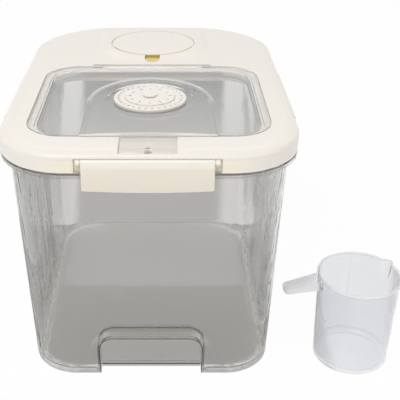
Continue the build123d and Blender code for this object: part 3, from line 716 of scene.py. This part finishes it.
def lid_plastic():
    """Cream, with painted warm bounce light on the skirt by the front clasp and in its pocket, and
    painted shade round the catch.
    """
    material = cream_plastic("lid_plastic_satin", FULL_CREAM)
    tree = material.node_tree
    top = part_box("front_clasp")[1].z
    sideways = reach_sideways(tree, 0.0)
    # Painted bounce light: a warm tint on the skirt near the clasp
    skirt = ramp_along(tree, "Z", top - 0.5 * MM, top - 1.5 * MM)
    skirt = both(tree, skirt, ramp_along(tree, "Y", -155 * MM, -165 * MM))
    near = both(tree, skirt, ramp_of(tree, sideways, BOUNCE_LIGHT_HALF_WIDTH, POCKET_HALF_WIDTH))
    blend_into(tree, "Base Color", SKIRT_PAINTED_BOUNCE_LIGHT, near)

    # Painted bounce light: a warmer, paler tint inside the clasp's pocket
    behind = ramp_along(tree, "Y", SKIRT_FRONT - 0.2 * MM, SKIRT_FRONT + 0.3 * MM)
    within = ramp_of(tree, sideways, POCKET_HALF_WIDTH, POCKET_HALF_WIDTH - 1 * MM)
    blend_into(tree, "Base Color", POCKET_PAINTED_BOUNCE_LIGHT, both(tree, skirt, behind, within))

    # Painted shade: a dark ring round the catch peg, under the tab's hole
    catch = band_of(tree, reach_from_axis(tree, CATCH_PEG), 1.5 * MM, 2.9 * MM, 0.1 * MM)
    blend_into(tree, "Base Color", CATCH_SHADE, catch)
    return material


def clasp_plastic():
    """A warmer cream, with a painted highlight band along its rounded top and a thin painted
    highlight line at its lower edge.
    """
    material = cream_plastic("clasp_plastic_satin", CLASP_CREAM)
    tree = material.node_tree
    low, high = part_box("front_clasp")
    # Painted highlight: a paler band along the rounded top and a thin line at the lower edge
    top = ramp_along(tree, "Z", high.z - 7.0 * MM, high.z - 5.0 * MM)
    foot = ramp_along(tree, "Z", low.z + 1.6 * MM, low.z + 1.0 * MM)
    blend_into(tree, "Base Color", CLASP_PAINTED_HIGHLIGHT, either(tree, top, foot))
    return material


def cap_plastic():
    """Cream, with a painted reflection of the basket's amber flange on the cap's front edge."""
    material = cream_plastic("cap_plastic_satin", FULL_CREAM)
    tree = material.node_tree
    low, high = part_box("compartment_cap")
    centre = (low + high) / 2
    radius = (high.x - low.x) / 2
    # Painted reflection of the basket's amber flange on the front edge
    edge = ramp_of(tree, reach_from_axis(tree, centre), radius - 1.5 * MM, radius - 1.1 * MM)
    front = ramp_along(tree, "Y", centre.y - 0.25 * radius, centre.y - 0.4 * radius)
    blend_into(tree, "Base Color", CAP_PAINTED_AMBER_REFLECTION, both(tree, edge, front))
    return material


def basket_plastic():
    """Amber satin plastic."""
    surface = {
        "Wave Scale": 10.0,
        "Grain Share": 0.25,
        "Roughness": 0.35,
        "Roughness Spread": 0.1,
    }
    return moulded_material(
        "basket_plastic_amber",
        {"IOR": 1.5},
        surface,
        relief=0.03 * MM,
        colour=AMBER,
        drift=0.05,
        drift_scale=30.0,
    )


def silicone():
    """Milky matte silicone."""
    sockets = {"IOR": 1.41, "Subsurface Weight": 0.3, "Subsurface Scale": 2 * MM}
    surface = {
        "Wave Scale": 40.0,
        "Grain Share": 0.6,
        "Roughness": 0.5,
        "Roughness Spread": 0.15,
    }
    return moulded_material(
        "silicone_milky",
        sockets,
        surface,
        relief=0.03 * MM,
        colour=MILKY_SILICONE,
        drift=0.05,
        drift_scale=40.0,
    )


def pin_steel():
    """Drawn steel with a fine grain."""
    surface = {
        "Wave Scale": 300.0,
        "Grain Share": 0.8,
        "Roughness": 0.28,
        "Roughness Spread": 0.2,
    }
    return moulded_material(
        "pin_steel_drawn",
        {"Metallic": 1.0},
        surface,
        relief=0.01 * MM,
        colour=DRAWN_STEEL,
        drift=0.1,
        drift_scale=200.0,
    )


def dial_ink():
    """Dark grey print."""
    surface = {
        "Wave Scale": 200.0,
        "Grain Share": 0.5,
        "Roughness": 0.45,
        "Roughness Spread": 0.1,
    }
    return moulded_material(
        "dial_ink_grey",
        {},
        surface,
        relief=0.005 * MM,
        colour=INK_GREY,
        drift=0.2,
        drift_scale=500.0,
    )


def cup_plastic():
    """Clear plastic, milky at the cup's handle, spout and gate mark, with painted highlight lines
    under the same milky cover at its rim and inner base edge.
    """
    tint = bpy.context.scene.rice_finish.cup_tint
    sockets = {
        "IOR": 1.12,
        "Transmission Weight": 0.88,
        "Coat Weight": 0.6,
        "Coat Roughness": 0.05,
    }
    surface = {
        "Wave Scale": 20.0,
        "Grain Share": 0.4,
        "Roughness": 0.05,
        "Roughness Spread": 0.04,
    }
    material = moulded_material(
        "cup_plastic_milky",
        sockets,
        surface,
        relief=0.03 * MM,
        colour=tint,
        drift=0.02,
        drift_scale=20.0,
    )
    tree = material.node_tree
    let_lamps_through(tree, tint)
    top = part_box("measuring_cup")[1].z
    # The handle, spout and gate mark are the cup's own milky plastic; the lines at the rim and the
    # inner base edge are painted highlights
    handle = ramp_along(tree, "X", CUP_HANDLE, CUP_HANDLE - 3 * MM)
    rim = ramp_along(tree, "Z", top - 1.3 * MM, top - 1.0 * MM)
    spout = ramp_along(tree, "X", CUP_SPOUT, CUP_SPOUT + 2 * MM)
    base_edge_highlight = band_along(tree, "Z", 5.0 * MM, 6.6 * MM, 0.3 * MM)
    reach = reach_from_axis(tree, CUP_AXIS)
    base_edge_highlight = both(tree, base_edge_highlight, ramp_of(tree, reach, 24 * MM, 27 * MM))
    gate_mark = ramp_of(tree, reach, 2.2 * MM, 1.4 * MM)
    milky = either(tree, handle, rim, spout, base_edge_highlight, gate_mark)
    lay_over(tree, weaken(tree, milky, CUP_MILK_AND_HIGHLIGHT_SHARE), CUP_MILK_AND_HIGHLIGHT, roughness=0.3)
    return material


def finish_nodes(names, material):
    """Gives CAD nodes their material, in each slot they have."""
    for name in names:
        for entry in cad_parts[name].material_slots:
            entry.material = material


def deselect_all():
    """Clears the selection, because an operator acts on all that is selected."""
    for item in bpy.context.selected_objects:
        item.select_set(False)


def number_text(label, height, radius, angle, centre, top, relief):
    """One number, its head towards the rim, as a thin raised mesh."""
    deselect_all()
    bpy.ops.object.text_add(location=(0, 0, 0))
    text = bpy.context.object
    text.data.body = label
    text.data.size = height
    text.data.align_x = "CENTER"
    text.data.align_y = "CENTER"
    text.data.extrude = relief
    text.data.resolution_u = 3
    bpy.ops.object.convert(target="MESH")
    turn = Matrix.Rotation(angle, 4, "Z")
    place = Matrix.Translation((centre[0], centre[1], top))
    text.data.transform(place @ turn @ Matrix.Translation((0, radius, 0)))
    return text


def number_ring(name, count, height, radius, centre, top, relief, body, material):
    """A ring of the numbers from 1 to count, clockwise seen from above, joined into one piece."""
    texts = []
    for number in range(1, count + 1):
        angle = -2 * math.pi * (number - 1) / count
        texts.append(number_text(str(number), height, radius, angle, centre, top, relief))
    deselect_all()
    for text in texts:
        text.select_set(True)
    bpy.context.view_layer.objects.active = texts[0]
    bpy.ops.object.join()
    ring = bpy.context.object
    ring.name = name
    ring.data.name = name
    ring.data.materials.clear()
    ring.data.materials.append(material)
    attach(ring, body)


def studio_world():
    """White where the camera looks, straight or through or off the plastic, softer as a light."""
    world = bpy.data.worlds.new("studio_world")
    bpy.context.scene.world = world
    world.use_nodes = True
    tree = world.node_tree
    background = tree.nodes["Background"]
    background.inputs["Color"].default_value = WHITE
    seen = rays(tree, "Camera", "Glossy", "Transmission")
    strength = mix_of(tree, "FLOAT", seen, LIGHT_STRENGTH, 1.0)
    tree.links.new(strength, background.inputs["Strength"])


def off_middle(tree, shift):
    """How far a point of the floor lies beside a line that is shifted to the left."""
    return reckon(tree, "ABSOLUTE", reckon(tree, "ADD", along(tree, "X"), shift))


def floor_patch(tree, settings):
    """The painted shadow grey seen through the bin, with a paler painted reflection of the bin
    towards the rear.
    """
    centre = Vector((0.0, settings.patch_front + PATCH_HALF_LENGTH, 0.0))
    half_width = settings.patch_half_width - PATCH_CORNER
    inner = Vector((half_width, PATCH_HALF_LENGTH - PATCH_CORNER, UNBOUNDED))
    beyond = reach_beyond(tree, centre, inner)
    soft = ramp_of(tree, beyond, PATCH_CORNER - 2 * MM, PATCH_CORNER + 2 * MM)
    # Painted shadow grey under the bin, and a paler painted reflection towards the rear
    grey, pale = settings.floor_grey, settings.patch_grey
    rear = (pale, pale, pale * 0.995, 1.0)
    return mix_of(tree, "RGBA", soft, rear, (grey, grey * 0.985, grey * 0.96, 1.0))


def backdrop_card(tree, settings):
    """The paler grey seen through the flat rear wall, a wedge that widens away from the bin."""
    back = along(tree, "Y")
    half = reckon(tree, "MULTIPLY_ADD", back, settings.card_spread, settings.card_half_width)
    beyond = reckon(tree, "SUBTRACT", off_middle(tree, settings.card_shift), half)
    near, far = settings.card_grey, settings.card_grey * CARD_REAR_SHARE
    grey = ramp_of(tree, back, *CARD_DARKENING, near, far)
    edge = ramp_of(tree, beyond, -CARD_EDGE, CARD_EDGE, grey, 1.0)
    flank = ramp_of(tree, beyond, *CARD_FLANK, 1.0, grey)
    flank = either(tree, flank, ramp_along(tree, "X", *CARD_CUP_SIDE))
    return reckon(tree, "MINIMUM", edge, flank)


def studio_floor():
    """White paper that keeps the object's shadow, with a painted shadow and the card's grey where
    clear plastic shows it.
    """
    settings = bpy.context.scene.rice_studio
    deselect_all()
    bpy.ops.mesh.primitive_plane_add(size=FLOOR_SIZE, location=(0, 0, 0))
    floor = bpy.context.object
    floor.name = "studio_floor"
    material = new_material("studio_floor_paper", {"Roughness": 0.7, "Base Color": WHITE})
    tree = material.node_tree
    before_end = below(tree, along(tree, "Y"), settings.floor_end)
    beside = below(tree, off_middle(tree, settings.floor_shift), settings.floor_half_width)
    # Painted shadow: the grey under the bin, shown only to rays through or off the plastic
    under_plastic = both(tree, before_end, beside, rays(tree, "Transmission", "Glossy"))
    card = backdrop_card(tree, settings)
    behind = mix_of(tree, "RGBA", rays(tree, "Transmission"), WHITE, card)
    shade = mix_of(tree, "RGBA", under_plastic, behind, floor_patch(tree, settings))
    glow = tree.nodes.new("ShaderNodeEmission")
    tree.links.new(shade, glow.inputs["Color"])
    seen = weaken(tree, rays(tree, "Camera", "Glossy", "Transmission"), FLOOR_GLOW)
    mix_onto_surface(tree, seen, glow.outputs["Emission"])
    floor.data.materials.append(material)


def studio_lamp(name, place, size, power):
    """A soft rectangular lamp that is turned to the middle of the bin."""
    light = bpy.data.lights.new(name, "AREA")
    light.shape = "RECTANGLE"
    light.size, light.size_y = size
    light.energy = power
    lamp = bpy.data.objects.new(name, light)
    bpy.context.scene.collection.objects.link(lamp)
    lamp.location = place
    lamp.rotation_euler = (Vector(LAMP_AIM) - Vector(place)).to_track_quat("-Z", "Y").to_euler()


def studio_camera():
    """The camera at the photograph's viewing angle."""
    settings = bpy.context.scene.rice_studio
    data = bpy.data.cameras.new("studio_camera")
    camera = bpy.data.objects.new("studio_camera", data)
    bpy.context.scene.collection.objects.link(camera)
    camera.location = settings.camera_place
    camera.rotation_euler = (settings.camera_tilt, 0.0, 0.0)
    data.lens = settings.camera_lens
    data.sensor_width = 36.0
    data.shift_x, data.shift_y = CAMERA_SHIFT
    bpy.context.scene.camera = camera


class RICEBIN_OT_finish_bin(bpy.types.Operator):
    """Gives the bin and the flip window their clear smoke-grey plastic"""

    bl_idname = "ricebin.finish_bin"
    bl_label = "Finish bin and window"

    def execute(self, context):
        finish_nodes(["bin_body"], smoke_plastic())
        finish_nodes(["flip_window"], window_plastic())
        return {"FINISHED"}


class RICEBIN_OT_finish_lid(bpy.types.Operator):
    """Gives the lid, clasps, cap and dial discs their cream plastic and the basket its amber"""

    bl_idname = "ricebin.finish_lid"
    bl_label = "Finish lid and clasps"

    def execute(self, context):
        finish_nodes(["compartment_basket"], basket_plastic())
        finish_nodes(["compartment_cap"], cap_plastic())
        finish_nodes(["lid_frame"], lid_plastic())
        dial = ["dial_day_disc", "dial_month_disc", "dial_hub"]
        finish_nodes(dial, cream_plastic("cream_plastic_satin", FULL_CREAM))
        finish_nodes([side + "_clasp" for side in SIDES], clasp_plastic())
        return {"FINISHED"}


class RICEBIN_OT_finish_seals_and_pins(bpy.types.Operator):
    """Gives the seals their milky silicone and the pins their drawn steel"""

    bl_idname = "ricebin.finish_seals_and_pins"
    bl_label = "Finish seals and pins"

    def execute(self, context):
        finish_nodes(["lid_seal", "window_seal", "compartment_cap_seal"], silicone())
        pins = ["window_hinge_pin_left", "window_hinge_pin_right"]
        finish_nodes(pins + [side + "_clasp_pin" for side in SIDES], pin_steel())
        return {"FINISHED"}


class RICEBIN_OT_finish_cup(bpy.types.Operator):
    """Gives the measuring cup its milky clear plastic"""

    bl_idname = "ricebin.finish_cup"
    bl_label = "Finish measuring cup"

    def execute(self, context):
        finish_nodes(["measuring_cup"], cup_plastic())
        return {"FINISHED"}


class RICEBIN_OT_number_dial(bpy.types.Operator):
    """Prints plain numbers for days and months on the dial's two discs"""

    bl_idname = "ricebin.number_dial"
    bl_label = "Number the dial"

    def execute(self, context):
        settings = context.scene.rice_dial
        ink = dial_ink()
        day_low, day_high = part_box("dial_day_disc")
        month_low, month_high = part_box("dial_month_disc")
        centre = (day_low + day_high) / 2
        day_radius = (day_high.x - day_low.x) / 2
        month_radius = (month_high.x - month_low.x) / 2
        number_ring(
            "dial_day_numbers",
            count=DAYS,
            height=settings.day_number_height,
            radius=(day_radius + month_radius) / 2 + DAY_RING_SHIFT,
            centre=centre,
            top=day_high.z,
            relief=settings.number_relief,
            body="day_disc",
            material=ink,
        )
        number_ring(
            "dial_month_numbers",
            count=MONTHS,
            height=settings.month_number_height,
            radius=month_radius - MONTH_RING_INSET,
            centre=centre,
            top=month_high.z,
            relief=settings.number_relief,
            body="month_disc",
            material=ink,
        )
        return {"FINISHED"}


class RICEBIN_OT_build_studio(bpy.types.Operator):
    """Sets up the pale floor, the white surroundings, the soft lamps and the camera"""

    bl_idname = "ricebin.build_studio"
    bl_label = "Build studio"

    def execute(self, context):
        studio_world()
        studio_floor()
        for name, place, size, power in LAMPS:
            studio_lamp(name, place, size, power)
        studio_camera()
        scene = context.scene
        scene.view_settings.view_transform = "Standard"
        scene.cycles.max_bounces = 24
        scene.cycles.transmission_bounces = 24
        scene.cycles.transparent_max_bounces = 16
        return {"FINISHED"}


class RICEBIN_PT_panel(bpy.types.Panel):
    """Lists the finishing steps and the settings that they use"""

    bl_label = "Rice Bin"
    bl_idname = "RICEBIN_PT_panel"
    bl_space_type = "VIEW_3D"
    bl_region_type = "UI"
    bl_category = "Rice Bin"

    def draw(self, context):
        for operator in OPERATORS:
            self.layout.operator(operator.bl_idname)
        for group in ("rice_finish", "rice_dial", "rice_studio"):
            box = self.layout.box()
            settings = getattr(context.scene, group)
            for name in settings.__annotations__:
                box.prop(settings, name)


OPERATORS = (
    RICEBIN_OT_finish_bin,
    RICEBIN_OT_finish_lid,
    RICEBIN_OT_finish_seals_and_pins,
    RICEBIN_OT_finish_cup,
    RICEBIN_OT_number_dial,
    RICEBIN_OT_build_studio,
)
SETTINGS = (FinishSettings, DialSettings, StudioSettings)
CLASSES = SETTINGS + OPERATORS + (RICEBIN_PT_panel,)


def register():
    for item in CLASSES:
        bpy.utils.register_class(item)
    bpy.types.Scene.rice_finish = bpy.props.PointerProperty(type=FinishSettings)
    bpy.types.Scene.rice_dial = bpy.props.PointerProperty(type=DialSettings)
    bpy.types.Scene.rice_studio = bpy.props.PointerProperty(type=StudioSettings)


def unregister():
    del bpy.types.Scene.rice_studio
    del bpy.types.Scene.rice_dial
    del bpy.types.Scene.rice_finish
    for item in reversed(CLASSES):
        bpy.utils.unregister_class(item)


def main():
    register()
    bpy.ops.ricebin.finish_bin()
    bpy.ops.ricebin.finish_lid()
    bpy.ops.ricebin.finish_seals_and_pins()
    bpy.ops.ricebin.finish_cup()
    bpy.ops.ricebin.number_dial()
    bpy.ops.ricebin.build_studio()


if __name__ == "__main__":
    main()
